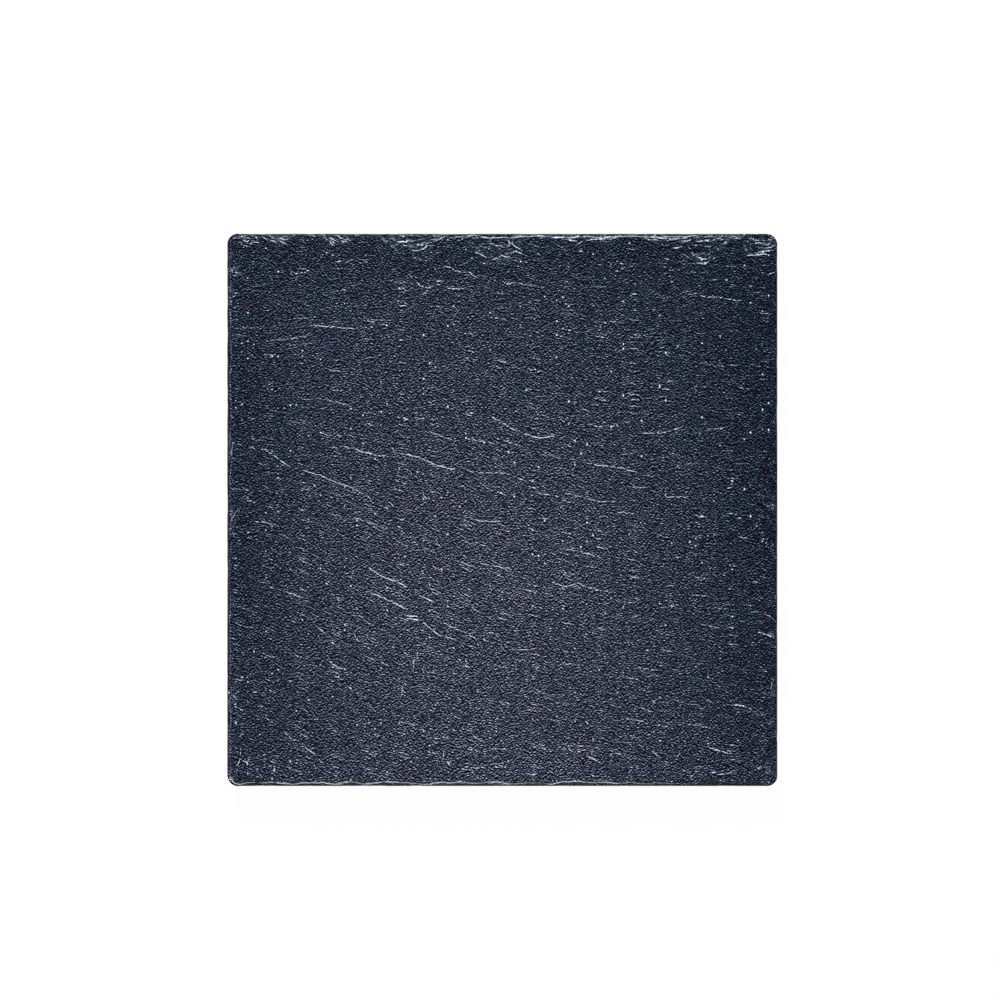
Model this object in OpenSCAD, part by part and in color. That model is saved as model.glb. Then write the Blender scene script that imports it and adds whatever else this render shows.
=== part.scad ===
// Square drink coaster split from natural slate, standing on four stick-on rubber feet.
// +Z is up and +Y is the back edge. The origin is on the table, under the middle of the slab.

/* [Slab] */
// Width of the slab, left to right
slab_w = 100; // [80:0.2:140]
// Depth of the slab, front to back
slab_d = 100.4; // [80:0.2:140]
// Thickness of the slab
slab_t = 5; // [4:0.1:10]
// Radius of the slab's upright corners
corner_r = 2; // [1:0.1:6]

/* [Cleavage] */
// Number of cleavage layers that show in the edge
layer_count = 10; // [8:1:14]
// Furthest that the edge of a layer stands back from the slab's outline
layer_setback = 0.3; // [0.1:0.05:0.6]

/* [Chipped edge] */
// Length of the longest chip scar, along the edge
scar_length = 12; // [9:0.1:15]
// Reach of the widest chip scar into the top face
scar_reach = 5.5; // [3:0.1:8]
// Drop of the deepest chip scar down the edge
scar_drop = 2.5; // [1:0.1:3.5]

/* [Feet] */
// Diameter of a foot
foot_d = 10; // [6:0.1:20]
// Height of a foot
foot_h = 2; // [1:0.1:5]
// Radius of the rounded lower rim of a foot
foot_rim_r = 0.5; // [0.2:0.05:0.9]
// Distance from a side of the slab to the centre of a foot
foot_inset = 14; // [11:0.1:30]

/* [Adhesive] */
// Thickness of the adhesive disc between a foot and the slab
adhesive_t = 0.2; // [0.1:0.05:0.5]
// How far the rim of the adhesive disc stays inside the rim of the foot
adhesive_margin = 0.3; // [0.1:0.05:1]

/* [Hidden] */
$fn = 96;

// Heights above the table
adhesive_z = foot_h;
slab_z = adhesive_z + adhesive_t;
layer_t = slab_t / layer_count;

// Corners of the slab, as the signs of X and Y
front_left = [-1, -1];
front_right = [1, -1];
back_left = [-1, 1];
back_right = [1, 1];

// Setback of each layer's edge, from the top layer down, as shares of layer_setback
setback_shares = [0.5, 0, 0.7, 0.2, 0.9, 0.4, 0, 0.8, 0.3, 0.6];

// Chip scars, one row each: place along the side from its left or front end, as a share of the side,
// then length, reach and drop, as shares of scar_length, scar_reach and scar_drop
back_scar_shares = [
    [0.04, 0.30, 0.36, 0.35],
    [0.09, 0.46, 0.36, 0.45],
    [0.20, 0.52, 0.43, 0.55],
    [0.33, 0.94, 0.53, 0.75],
    [0.485, 0.97, 0.80, 0.60],
    [0.61, 0.55, 0.27, 0.50],
    [0.68, 0.67, 0.30, 0.55],
    [0.79, 0.76, 0.27, 0.70],
    [0.865, 0.76, 1.00, 0.80],
    [0.965, 0.70, 0.70, 1.00]
];
right_scar_shares = [
    [0.05, 0.60, 0.46, 0.80],
    [0.13, 0.60, 0.43, 0.65],
    [0.19, 0.55, 0.33, 0.80],
    [0.29, 0.40, 0.46, 0.70],
    [0.375, 0.67, 0.27, 0.50],
    [0.46, 0.76, 0.40, 0.60],
    [0.555, 1.00, 0.63, 1.00],
    [0.66, 0.76, 0.23, 0.40],
    [0.735, 0.55, 0.33, 0.50],
    [0.82, 0.60, 0.36, 0.50],
    [0.895, 0.52, 0.20, 0.40]
];
front_scar_shares = [
    [0.055, 0.55, 0.23, 0.70],
    [0.13, 0.60, 0.17, 0.40],
    [0.235, 0.70, 0.20, 0.50],
    [0.335, 0.76, 0.17, 0.40],
    [0.45, 0.91, 0.17, 0.50],
    [0.55, 0.55, 0.20, 0.60],
    [0.655, 0.85, 0.17, 0.40],
    [0.76, 0.76, 0.17, 0.50],
    [0.87, 0.52, 0.23, 0.60],
    [0.955, 0.55, 0.17, 0.40]
];
left_scar_shares = [
    [0.03, 0.43, 0.36, 0.70],
    [0.085, 0.52, 0.40, 0.50],
    [0.175, 0.46, 0.50, 0.60],
    [0.265, 0.67, 0.23, 0.40],
    [0.335, 0.60, 0.30, 0.40],
    [0.49, 0.46, 0.40, 0.50],
    [0.63, 0.76, 0.20, 0.60],
    [0.725, 0.60, 0.20, 0.40],
    [0.825, 0.76, 0.17, 0.40],
    [0.895, 0.40, 0.23, 0.50],
    [0.955, 0.48, 0.40, 0.60]
];

// Radius of the arc that spans a chord and rises by a given height over it
function arc_radius(chord, rise) = (chord * chord / 4 + rise * rise) / (2 * rise);

// Setback of one layer's edge, counted from the top layer
function setback(layer) = layer_setback * setback_shares[layer % len(setback_shares)];

// Flat outline of the slab with its rounded corners, drawn in by an inset
module rounded_outline(inset) {
    w = slab_w - 2 * inset;
    d = slab_d - 2 * inset;
    square([w - 2 * corner_r, d], center = true);
    square([w, d - 2 * corner_r], center = true);
    for (side_x = [-1, 1], side_y = [-1, 1])
        translate([side_x * (w / 2 - corner_r), side_y * (d / 2 - corner_r)])
            circle(r = corner_r);
}

// What a scar takes from one layer: an arc that shortens and shallows with depth.
// The scar lies on a side that runs along +X through the origin, with the stone below it.
module scar_bite(scar, side_length, depth) {
    drop = scar[3] * scar_drop;
    if (depth < drop) {
        left_over = 1 - depth / drop;
        chord = scar[1] * scar_length * sqrt(left_over);
        reach = scar[2] * scar_reach * left_over;
        r = arc_radius(chord, reach);
        translate([(scar[0] - 1 / 2) * side_length, r - reach])
            circle(r = r);
    }
}

// What the scars of all four sides take from one layer
module bites(depth) {
    for (scar = back_scar_shares)
        translate([0, slab_d / 2])
            scar_bite(scar, slab_w, depth);
    for (scar = front_scar_shares)
        mirror([0, 1])
            translate([0, slab_d / 2])
                scar_bite(scar, slab_w, depth);
    for (scar = left_scar_shares)
        rotate(90)
            translate([0, slab_w / 2])
                scar_bite(scar, slab_d, depth);
    for (scar = right_scar_shares)
        mirror([1, 0])
            rotate(90)
                translate([0, slab_w / 2])
                    scar_bite(scar, slab_d, depth);
}

// The stone: cleavage layers in one piece, bitten back where flakes have come off the top edge
module slate_slab() {
    color("#363c4a")
        for (layer = [0 : layer_count - 1])
            translate([0, 0, slab_z + slab_t - (layer + 1) * layer_t])
                linear_extrude(layer_t)
                    difference() {
                        rounded_outline(setback(layer));
                        bites(layer * layer_t);
                    }
}

// Places a child under one corner of the slab
module at_foot(corner) {
    translate([corner.x * (slab_w / 2 - foot_inset), corner.y * (slab_d / 2 - foot_inset)])
        children();
}

// Rubber foot: a disc with a rounded lower rim and a flat sole
module foot(corner) {
    r = foot_d / 2;
    color("#1d1d1f")
        at_foot(corner)
            rotate_extrude() {
                square([r - foot_rim_r, foot_h]);
                translate([0, foot_rim_r])
                    square([r, foot_h - foot_rim_r]);
                translate([r - foot_rim_r, foot_rim_r])
                    circle(r = foot_rim_r);
            }
}

// Double-sided adhesive disc that holds a foot to the stone
module adhesive(corner) {
    color("#cfcabb")
        at_foot(corner)
            translate([0, 0, adhesive_z])
                cylinder(h = adhesive_t, d = foot_d - 2 * adhesive_margin);
}

slate_slab();
foot(front_left);  // foot_front_left
foot(front_right);  // foot_front_right
foot(back_left);  // foot_back_left
foot(back_right);  // foot_back_right
adhesive(front_left);  // adhesive_front_left
adhesive(front_right);  // adhesive_front_right
adhesive(back_left);  // adhesive_back_left
adhesive(back_right);  // adhesive_back_right
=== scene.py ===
"""Natural slate drink coaster: the looks of its stone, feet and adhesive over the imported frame."""

import math

import bpy
import numpy as np
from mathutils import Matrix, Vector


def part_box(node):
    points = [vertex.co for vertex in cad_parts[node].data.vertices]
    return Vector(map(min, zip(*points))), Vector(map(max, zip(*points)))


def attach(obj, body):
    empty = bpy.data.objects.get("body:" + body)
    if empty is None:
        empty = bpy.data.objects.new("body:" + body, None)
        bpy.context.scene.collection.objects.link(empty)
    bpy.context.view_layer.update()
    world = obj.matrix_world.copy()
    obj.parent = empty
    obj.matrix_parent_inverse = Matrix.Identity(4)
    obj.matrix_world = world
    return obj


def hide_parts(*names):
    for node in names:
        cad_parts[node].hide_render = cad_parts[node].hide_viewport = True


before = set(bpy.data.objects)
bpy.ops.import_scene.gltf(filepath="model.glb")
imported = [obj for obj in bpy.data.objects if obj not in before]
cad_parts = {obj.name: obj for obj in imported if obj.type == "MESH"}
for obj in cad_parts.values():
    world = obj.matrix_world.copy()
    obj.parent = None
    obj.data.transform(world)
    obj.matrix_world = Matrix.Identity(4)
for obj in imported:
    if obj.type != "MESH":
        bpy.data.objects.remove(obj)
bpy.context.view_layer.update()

# Units and the photograph's frame
MM = 0.001
PHOTO_PX = 1000
COASTER_LEFT_PX = 227.1
COASTER_RIGHT_PX = 777.6
COASTER_BACK_PX = 233.4
COASTER_FRONT_PX = 786.35

# The slab's own box, from the frame, in millimetres
slab_low, slab_high = (np.array(corner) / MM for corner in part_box("slate_slab"))
HALF_W = (slab_high[0] - slab_low[0]) / 2
HALF_D = (slab_high[1] - slab_low[1]) / 2
SLAB_BOTTOM = slab_low[2]
SLAB_TOP = slab_high[2]
MM_PER_PX = 2 * HALF_W / (COASTER_RIGHT_PX - COASTER_LEFT_PX)
CENTRE_X_PX = (COASTER_LEFT_PX + COASTER_RIGHT_PX) / 2
CENTRE_Y_PX = (COASTER_BACK_PX + COASTER_FRONT_PX) / 2

# Stone: lengths in millimetres, and shares, powers and seeds
CORNER_R = 2.0
SCAR_LENGTH = 12.0
SCAR_REACH = 5.5
SCAR_DROP = 2.5
SCAR_LAYER = 0.42
SCAR_RISER_SHARE = 0.4
SCAR_RIM_SHARE = 0.16
SCAR_RAGGED_SHARE = 0.16
SCAR_UNEVEN_SHARE = 0.22
SCAR_ARC_POWER = 0.8
SCAR_SLOPE_POWER = 1.15
SCAR_SOFT_SHARE = 0.10
SCAR_LAYER_UNEVEN = 0.10
SCAR_START = (0.02, 0.3)
SCAR_LEAST_SHARE = 0.4
SCAR_RELIEF_SHARE = 0.35
SCAR_FIRST_SEED = 100
SCAR_SEED_STEP = 3
WEAR_REACH = 0.75
WEAR_LEAST_REACH = 0.15
WEAR_UNEVEN_SHARE = 0.7
WEAR_POWER = 1.3
WEAR_DROP = 0.45
EDGE_WANDER = 0.06
EDGE_WANDER_REACH = 4
SWELL_HEIGHT = 0.10
TREAD_HEIGHT = 0.03
TREAD_LEVELS = 2.9
TREAD_RAISE = 2
TREAD_RISER_SHARE = 0.35
GRAIN_HEIGHT = 0.006
STREAK_STEP = 0.06
WALL_SETBACK = 0.30
WALL_LAYER = 0.45
WALL_BEND = 0.5
WALL_ROUGH = 0.08
WALL_FOOT_SETBACK = 0.25
WALL_FOOT_SHARE = 0.9
WALL_RIM_SHARE = 0.12
WALL_BROKEN = 0.6
BOTTOM_RELIEF = 0.10
GRAIN_DEPTH_STRETCH = 1.5
GRAIN_SIDE_STRETCH = 4.0
WALL_GRAIN_STRETCH = 2 * GRAIN_DEPTH_STRETCH
WALL_PLACE = 60.0
NOISE_PLACE = 200
FOOT_FLAT_BAND = (1, 6)

# Depths and slopes over which scarred stone stops being whole, turns broken, and faces the back lamp, so that
# its ripple lines get a painted highlight
WHOLE_LOSS = (0.05, 0.5)
BROKEN_LOSS = (0.03, 0.25)
LIT_SLOPE = (0.05, 0.6)

# Worn lip, in millimetres from the edges, from the right edge, and along the back edge
LIP_BAND = (4, 1.5)
LIP_FRONT_END = (10, 30)
LIP_BACK_START = (-14, -6)
LIP_BACK_END = (44, 36)
LIP_LEFT_SHARE = 0.35
LIP_BACK_SHARE = 0.8

# Distances that stand for nowhere near a streak and nowhere near the rim, and the least divisor
STREAK_FAR = 10.0
RIM_FAR = 9.0
TINY = 1e-6

# Noise on the stone: cells to a millimetre along and across, seed, and octaves
NOISE_CELLS = 256
STONE_NOISES = {
    "scar_ends": (0.9, 0.9, 0, 1),
    "scar_reach": (1.4, 0.5, 1, 1),
    "scar_layers": (0.8, 0.8, 11, 2),
    "wear": (0.35, 0, 31, 3),
    "swell": (1 / 40, 1 / 26, 41, 2),
    "treads": (1 / 24, 1 / 6.5, 51, 4),
    "grain": (1 / 1.5, 1 / 0.8, 61, 2),
    "outline": (1 / 2.2, 1 / 2.2, 71, 2),
    "wall_bend": (1 / 23, 0, 81, 1),
    "wall_layers": (1 / 5, 7, 82, 1),
    "wall_grain": (1 / 1.1, 1 / 0.5, 83, 2),
    "wall_foot": (1 / 1.7, 0, 84, 1),
    "underside": (1 / 18, 1 / 6, 91, 3),
}

# Mesh of the stone: grid lines are closer together in a band along the edges
EDGE_BAND = 7.0
EDGE_STEPS = 32
MIDDLE_STEPS = 200
WALL_ROWS = 18
BOTTOM_STRIDE = 4

# Feet and adhesive: lengths in millimetres, and shares, counts and angles
FOOT_RIM_R = 0.5
FOOT_TOP_R = 0.12
FOOT_FLAT_SHARE = 0.5
ADHESIVE_RAGGED = 0.06
ADHESIVE_FLAT_SHARE = 0.6
RAGGED_COUNTS = (5, 11, 17)
LATHE_SEGMENTS = 96
FOOT_RIM_STEPS = 8
FOOT_TOP_STEPS = 4
LATHE_SHARP_DEGREES = 35
SLATE_SHARP_DEGREES = 50
CORNERS = ("front_left", "front_right", "back_left", "back_right")

# Chip scars along each side: place along the side from its left or front end, then length, reach and drop,
# as shares of the side and of the scar sizes above
SCAR_SHARES = {
    "back": [
        (0.04, 0.3, 0.36, 0.35), (0.09, 0.46, 0.36, 0.45), (0.2, 0.52, 0.43, 0.55),
        (0.33, 0.94, 0.53, 0.75), (0.485, 0.97, 0.8, 0.6), (0.61, 0.55, 0.27, 0.5), (0.68, 0.67, 0.3, 0.55),
        (0.79, 0.76, 0.27, 0.7), (0.865, 0.76, 1.0, 0.8), (0.965, 0.7, 0.7, 1.0),
    ],
    "right": [
        (0.05, 0.6, 0.46, 0.8), (0.13, 0.6, 0.43, 0.65), (0.19, 0.55, 0.33, 0.8), (0.29, 0.4, 0.46, 0.7),
        (0.375, 0.67, 0.27, 0.5), (0.46, 0.76, 0.4, 0.6), (0.555, 1.0, 0.63, 1.0), (0.66, 0.76, 0.23, 0.4),
        (0.735, 0.55, 0.33, 0.5), (0.82, 0.6, 0.36, 0.5), (0.895, 0.52, 0.2, 0.4),
    ],
    "front": [
        (0.055, 0.55, 0.23, 0.7), (0.13, 0.6, 0.17, 0.4), (0.235, 0.7, 0.2, 0.5), (0.335, 0.76, 0.17, 0.4),
        (0.45, 0.91, 0.17, 0.5), (0.55, 0.55, 0.2, 0.6), (0.655, 0.85, 0.17, 0.4), (0.76, 0.76, 0.17, 0.5),
        (0.87, 0.52, 0.23, 0.6), (0.955, 0.55, 0.17, 0.4),
    ],
    "left": [
        (0.03, 0.43, 0.36, 0.7), (0.085, 0.52, 0.4, 0.5), (0.175, 0.46, 0.5, 0.6), (0.265, 0.67, 0.23, 0.4),
        (0.335, 0.6, 0.3, 0.4), (0.49, 0.46, 0.4, 0.5), (0.63, 0.76, 0.2, 0.6), (0.725, 0.6, 0.2, 0.4),
        (0.825, 0.76, 0.17, 0.4), (0.895, 0.4, 0.23, 0.5), (0.955, 0.48, 0.4, 0.6),
    ],
}

# Cleavage streaks read off the photograph: strength, then x and y of each pixel along the streak.
# A negative strength is a dark crack.
STREAKS_PX = [
    # Upper left
    (0.5, 250, 287, 260, 286), (0.5, 263, 285, 270, 284), (0.7, 289, 271, 298, 274, 312, 270),
    (0.5, 318, 263, 323, 265, 329, 266), (1.0, 337, 262, 342, 261), (0.6, 345, 263, 353, 259),
    (0.5, 359, 259, 367, 262), (0.5, 352, 286, 360, 284), (1.3, 343, 290, 345, 290),
    (-0.6, 340, 265, 342, 278, 343, 287), (0.7, 307, 325, 358, 329), (0.6, 263, 341, 290, 339, 312, 335),
    (0.4, 374, 320, 393, 320), (0.5, 390, 281, 405, 284), (0.6, 411, 257, 419, 259, 428, 261),
    (0.8, 409, 284, 417, 283, 424, 288, 431, 287, 437, 286), (0.7, 427, 289, 426, 293, 421, 295),
    (0.6, 408, 274, 412, 277), (1.0, 437, 281, 443, 281), (0.9, 446, 288, 456, 289, 466, 288),
    (0.6, 316, 398, 336, 402, 354, 407), (0.5, 317, 432, 336, 437), (0.5, 336, 445, 365, 452),
    (0.9, 301, 470, 322, 476, 340, 484, 355, 488), (0.7, 247, 417, 252, 419, 257, 418),
    (0.6, 250, 437, 256, 440), (0.8, 247, 448, 252, 447, 256, 450),
    (0.8, 259, 449, 265, 450, 272, 454, 291, 468), (0.6, 259, 463, 267, 466),
    (0.6, 242, 489, 249, 491, 253, 495), (0.5, 242, 500, 251, 501, 258, 504),
    # Upper right
    (0.8, 440, 267, 449, 267, 454, 270, 460, 272, 469, 272, 476, 277, 481, 277),
    (0.6, 500, 279, 506, 284, 515, 283, 534, 286, 547, 288), (1.2, 567, 267, 569, 267),
    (1.0, 579, 251, 582, 251), (0.6, 478, 315, 508, 320), (0.5, 587, 304, 601, 307),
    (0.5, 590, 266, 600, 268), (0.9, 619, 263, 624, 264), (0.9, 619, 268, 624, 268),
    (0.5, 606, 321, 621, 323), (0.6, 628, 334, 654, 337), (0.5, 624, 349, 642, 349),
    (0.6, 665, 258, 669, 259), (0.5, 669, 270, 681, 269), (0.6, 684, 274, 690, 272, 698, 273),
    (0.5, 708, 280, 721, 279), (0.6, 681, 292, 686, 292, 693, 290), (0.8, 697, 296, 720, 298, 742, 301),
    (0.5, 751, 292, 763, 293), (0.5, 672, 321, 683, 321), (0.6, 735, 387, 742, 388, 752, 389),
    (0.5, 732, 414, 740, 415, 746, 417), (0.8, 640, 433, 664, 433, 682, 427), (0.6, 698, 432, 729, 427),
    (0.5, 640, 475, 657, 475), (0.6, 664, 497, 691, 497),
    # Centre
    (0.5, 413, 417, 424, 419, 430, 416, 442, 421), (0.8, 426, 430, 440, 436, 454, 441),
    (0.9, 490, 416, 500, 421, 512, 429, 524, 433), (1.0, 522, 434, 541, 438, 558, 435),
    (0.7, 463, 437, 475, 440, 497, 444), (0.8, 502, 440, 523, 447), (0.8, 588, 424, 597, 427, 617, 426),
    (0.9, 585, 463, 604, 466, 622, 468, 638, 473), (0.9, 350, 446, 361, 451, 374, 455, 388, 456),
    (1.0, 399, 453, 418, 457, 436, 465, 457, 470), (0.6, 476, 473, 504, 473, 517, 478, 527, 482),
    (0.6, 480, 484, 498, 494), (0.6, 369, 490, 380, 493), (0.6, 420, 496, 428, 498, 437, 502),
    (0.5, 576, 484, 586, 489), (0.6, 565, 493, 586, 498, 599, 502, 619, 501),
    (0.9, 469, 517, 479, 521, 502, 522), (0.6, 536, 518, 552, 519), (0.5, 554, 527, 567, 532),
    (0.5, 597, 518, 604, 516, 610, 518), (0.8, 613, 512, 638, 514), (0.8, 558, 548, 579, 551, 602, 558),
    (0.5, 577, 569, 586, 566, 601, 569), (0.7, 422, 547, 436, 553), (0.6, 472, 540, 492, 550),
    (0.7, 472, 562, 490, 565, 517, 570), (0.6, 460, 562, 479, 569),
    (0.8, 549, 581, 567, 587, 577, 583, 597, 590, 612, 592), (0.6, 511, 586, 540, 594),
    (1.0, 367, 566, 383, 577, 399, 582, 410, 590), (1.0, 367, 591, 388, 600, 408, 610),
    (0.8, 418, 594, 436, 604), (1.2, 404, 615, 410, 616, 417, 617), (1.3, 405, 618, 413, 619, 421, 620),
    (0.9, 421, 620, 428, 626, 436, 633, 443, 637, 458, 640), (0.8, 443, 623, 472, 636, 479, 642),
    (0.5, 467, 606, 483, 613), (0.5, 501, 611, 513, 618), (0.7, 482, 632, 492, 633, 502, 638),
    (0.6, 613, 601, 638, 603), (0.7, 631, 618, 640, 615), (0.6, 534, 489, 542, 494, 553, 495),
    (0.6, 536, 451, 548, 454, 560, 459, 569, 457), (0.6, 630, 487, 650, 488),
    (0.6, 350, 515, 370, 524, 380, 530), (0.7, 350, 487, 365, 495, 372, 500), (0.5, 386, 500, 402, 513),
    (0.8, 508, 649, 517, 651, 524, 649, 534, 650), (0.6, 504, 642, 514, 642), (0.7, 458, 665, 470, 667),
    (1.1, 406, 655, 408, 655), (0.5, 416, 666, 430, 673, 440, 672),
    # Lower left
    (0.7, 314, 557, 320, 559, 326, 561), (0.6, 322, 569, 328, 573), (0.7, 294, 655, 301, 657),
    (1.0, 269, 605, 271, 605), (0.8, 352, 615, 362, 617), (0.6, 353, 632, 357, 640, 362, 642),
    (0.7, 372, 642, 380, 643), (0.5, 380, 628, 394, 638), (0.6, 360, 654, 376, 661),
    (0.6, 381, 662, 390, 667), (0.6, 316, 626, 328, 636), (0.8, 252, 521, 257, 522, 263, 522, 270, 523),
    (0.5, 246, 536, 251, 539, 258, 541), (0.5, 281, 534, 291, 539), (0.5, 296, 537, 306, 541),
    (0.7, 295, 557, 313, 566), (0.5, 247, 574, 255, 580), (1.0, 270, 587, 273, 588),
    (0.8, 282, 590, 297, 596, 311, 603), (0.8, 348, 576, 357, 580), (0.6, 254, 606, 260, 606),
    (0.5, 246, 627, 253, 627, 256, 631), (0.8, 326, 655, 331, 663, 338, 668, 346, 670),
    (0.7, 347, 686, 361, 696), (1.2, 254, 692, 256, 692), (0.6, 258, 705, 264, 707),
    (0.6, 256, 716, 263, 718), (0.6, 282, 729, 290, 737), (0.9, 289, 737, 294, 740, 297, 739),
    (0.8, 304, 747, 309, 750, 316, 754), (0.5, 305, 757, 312, 759), (0.7, 286, 765, 293, 770, 302, 773),
    (0.6, 332, 767, 336, 771, 341, 773), (1.0, 406, 723, 418, 726), (0.9, 403, 685, 401, 698),
    (0.7, 407, 661, 414, 660, 413, 674), (0.9, 432, 738, 439, 739), (0.9, 441, 737, 450, 739),
    (0.7, 427, 751, 437, 754), (0.9, 444, 752, 443, 757), (0.9, 448, 762, 450, 765),
    (1.0, 456, 746, 461, 747), (0.7, 471, 735, 476, 738, 486, 743), (0.8, 467, 749, 475, 750, 483, 753),
    (0.7, 490, 748, 498, 749, 509, 750), (0.6, 470, 766, 475, 768, 490, 767), (0.9, 521, 763, 526, 762),
    (1.1, 531, 775, 536, 775), (0.8, 532, 779, 535, 781), (-0.9, 462, 774, 470, 771, 477, 770),
    # Lower right
    (1.4, 738, 518, 740, 518), (0.6, 736, 536, 742, 537, 751, 539), (0.9, 753, 582, 760, 583),
    (0.5, 664, 586, 678, 586), (0.5, 684, 585, 695, 583), (0.5, 671, 603, 680, 606),
    (0.8, 751, 612, 759, 612), (0.5, 739, 621, 748, 622), (0.7, 701, 624, 723, 629),
    (0.5, 667, 618, 678, 620), (0.6, 634, 667, 661, 671), (0.6, 608, 704, 623, 708),
    (0.6, 637, 707, 655, 713), (0.6, 623, 718, 653, 723), (0.5, 649, 724, 669, 727),
    (0.6, 683, 723, 716, 729), (0.5, 705, 700, 714, 702), (1.2, 731, 705, 737, 705, 743, 706, 748, 708),
    (0.9, 568, 747, 570, 750), (0.7, 575, 745, 584, 747), (1.0, 578, 751, 580, 752),
    (1.1, 585, 754, 590, 757, 601, 763), (-0.9, 577, 755, 586, 768), (0.8, 613, 753, 623, 755, 627, 755),
    (1.3, 652, 751, 658, 756), (1.4, 666, 764, 668, 764), (1.2, 690, 776, 692, 776),
    (1.0, 685, 769, 686, 769), (0.8, 707, 747, 721, 751, 727, 753, 730, 757), (1.3, 730, 745, 733, 745),
    (1.2, 712, 772, 718, 773), (1.2, 718, 775, 724, 774), (1.0, 726, 774, 732, 772),
    (0.9, 756, 767, 760, 769), (0.8, 761, 766, 758, 771), (1.2, 762, 782, 764, 782),
    # Back edge, left part
    (0.7, 243, 238, 248, 237, 251, 239), (0.7, 243, 240, 247, 242, 250, 240),
    (0.8, 249, 244, 254, 242, 260, 242), (0.6, 243, 245, 248, 246), (0.6, 253, 237, 258, 238),
    (0.9, 268, 235, 274, 238, 280, 241, 288, 245), (0.7, 269, 239, 273, 241, 277, 242),
    (0.8, 278, 236, 283, 239, 289, 240), (0.7, 263, 237, 267, 240),
    (0.9, 324, 235, 329, 238, 333, 242, 336, 244), (0.8, 326, 239, 330, 242, 333, 245),
    (1.0, 330, 237, 334, 240, 338, 242), (0.8, 337, 235, 341, 238, 345, 239),
    (0.8, 341, 242, 345, 241, 348, 243), (0.8, 344, 235, 348, 239, 352, 241),
    (0.8, 390, 237, 395, 241, 401, 242, 407, 241, 417, 241), (0.7, 400, 236, 407, 237),
    (0.8, 409, 249, 417, 251, 421, 250), (1.2, 420, 250, 424, 248, 430, 244),
    (1.0, 430, 243, 437, 240, 447, 235), (0.7, 419, 245, 424, 245, 431, 242),
    # Back edge, middle part
    (0.8, 455, 236, 464, 237), (0.7, 457, 241, 464, 238), (0.9, 479, 237, 488, 237),
    (0.9, 487, 243, 495, 245, 506, 247), (0.8, 474, 252, 482, 255, 488, 258),
    (0.8, 490, 261, 499, 257, 503, 255), (1.0, 488, 249, 490, 249), (0.7, 501, 255, 509, 258),
    (0.9, 506, 238, 510, 243, 516, 247, 523, 249), (1.1, 510, 253, 516, 251, 523, 254),
    (0.7, 517, 247, 521, 249, 523, 252), (0.9, 538, 236, 542, 238), (0.9, 551, 238, 560, 237, 565, 237),
    (0.9, 565, 239, 572, 240, 577, 241), (0.8, 577, 245, 583, 241), (0.6, 556, 245, 561, 247, 568, 246),
    (0.8, 584, 240, 597, 239, 603, 240, 615, 238), (0.7, 598, 236, 606, 237, 612, 236),
    # Back edge, right part
    (0.8, 641, 237, 647, 239, 651, 240, 658, 239), (0.8, 649, 236, 663, 238, 673, 239, 689, 237),
    (0.8, 681, 240, 689, 241, 692, 238), (1.1, 671, 248, 677, 248, 683, 246), (0.8, 694, 237, 699, 238),
    (0.8, 694, 242, 700, 241, 707, 240, 711, 242), (0.7, 699, 244, 704, 246, 714, 247),
    (0.8, 678, 255, 685, 255, 690, 259), (0.9, 691, 250, 694, 255, 702, 259, 707, 259, 712, 256),
    (1.1, 695, 263, 701, 263, 705, 264, 710, 260), (0.7, 716, 237, 724, 240), (0.7, 733, 238, 742, 238),
    (0.9, 747, 237, 758, 240, 767, 240), (0.6, 752, 243, 763, 243),
    (1.1, 745, 256, 754, 255, 763, 254, 771, 255), (0.9, 756, 253, 764, 251, 775, 250),
    (0.9, 763, 249, 771, 247, 776, 245), (0.8, 764, 245, 772, 243), (0.7, 767, 275, 775, 272),
    # Left edge
    (0.9, 233, 275, 237, 275), (0.9, 233, 297, 235, 296), (0.9, 232, 417, 235, 419),
    (0.6, 233, 441, 231, 455), (0.9, 232, 489, 235, 490), (0.7, 240, 505, 230, 522),
    (0.9, 232, 533, 235, 534), (0.6, 233, 567, 238, 571), (0.6, 231, 638, 235, 639),
    (1.0, 232, 679, 237, 679, 240, 680, 245, 680), (0.7, 233, 684, 237, 681), (0.7, 235, 694, 238, 692),
    (0.6, 244, 729, 238, 741), (0.6, 241, 747, 240, 757), (1.1, 240, 758, 237, 766),
    (1.1, 244, 761, 247, 763, 247, 767), (0.9, 249, 759, 247, 763),
    # Right and front edges
    (-0.7, 776, 445, 758, 470), (-0.6, 770, 487, 757, 498), (0.8, 765, 614, 772, 618, 776, 622),
    (0.9, 754, 631, 762, 633, 775, 638), (0.7, 771, 690, 772, 682, 776, 676),
    (-0.7, 768, 690, 769, 680, 775, 670), (-0.7, 771, 740, 766, 755, 761, 772), (0.8, 269, 766, 275, 767),
    (1.1, 274, 767, 274, 772), (0.7, 255, 769, 262, 769), (0.8, 257, 771, 261, 776),
    (0.9, 264, 755, 266, 755), (0.7, 274, 756, 278, 756), (-1.2, 256, 782, 261, 780, 267, 778),
    (-0.9, 268, 780, 273, 782), (-0.9, 353, 783, 357, 780, 361, 779), (-0.6, 332, 781, 345, 780),
    (-0.7, 705, 781, 713, 777), (1.0, 456, 782, 465, 781), (0.9, 486, 783, 496, 783),
    (0.8, 420, 781, 426, 782),
]

# Sorting and shape of the streaks: a count of layers, and lengths in millimetres
STREAK_LAYERS = 6
STREAK_SPACING = 1.8
STREAK_HALF_BAND = 0.85
STREAK_FADE = 1.2
STREAK_FADE_SHARE = 1 / 3
STREAK_LEAD = 0.3
STREAK_SAMPLES = 12
STREAK_RISER = (-0.1, 0.3)
STREAK_RUN = 1.5

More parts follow.
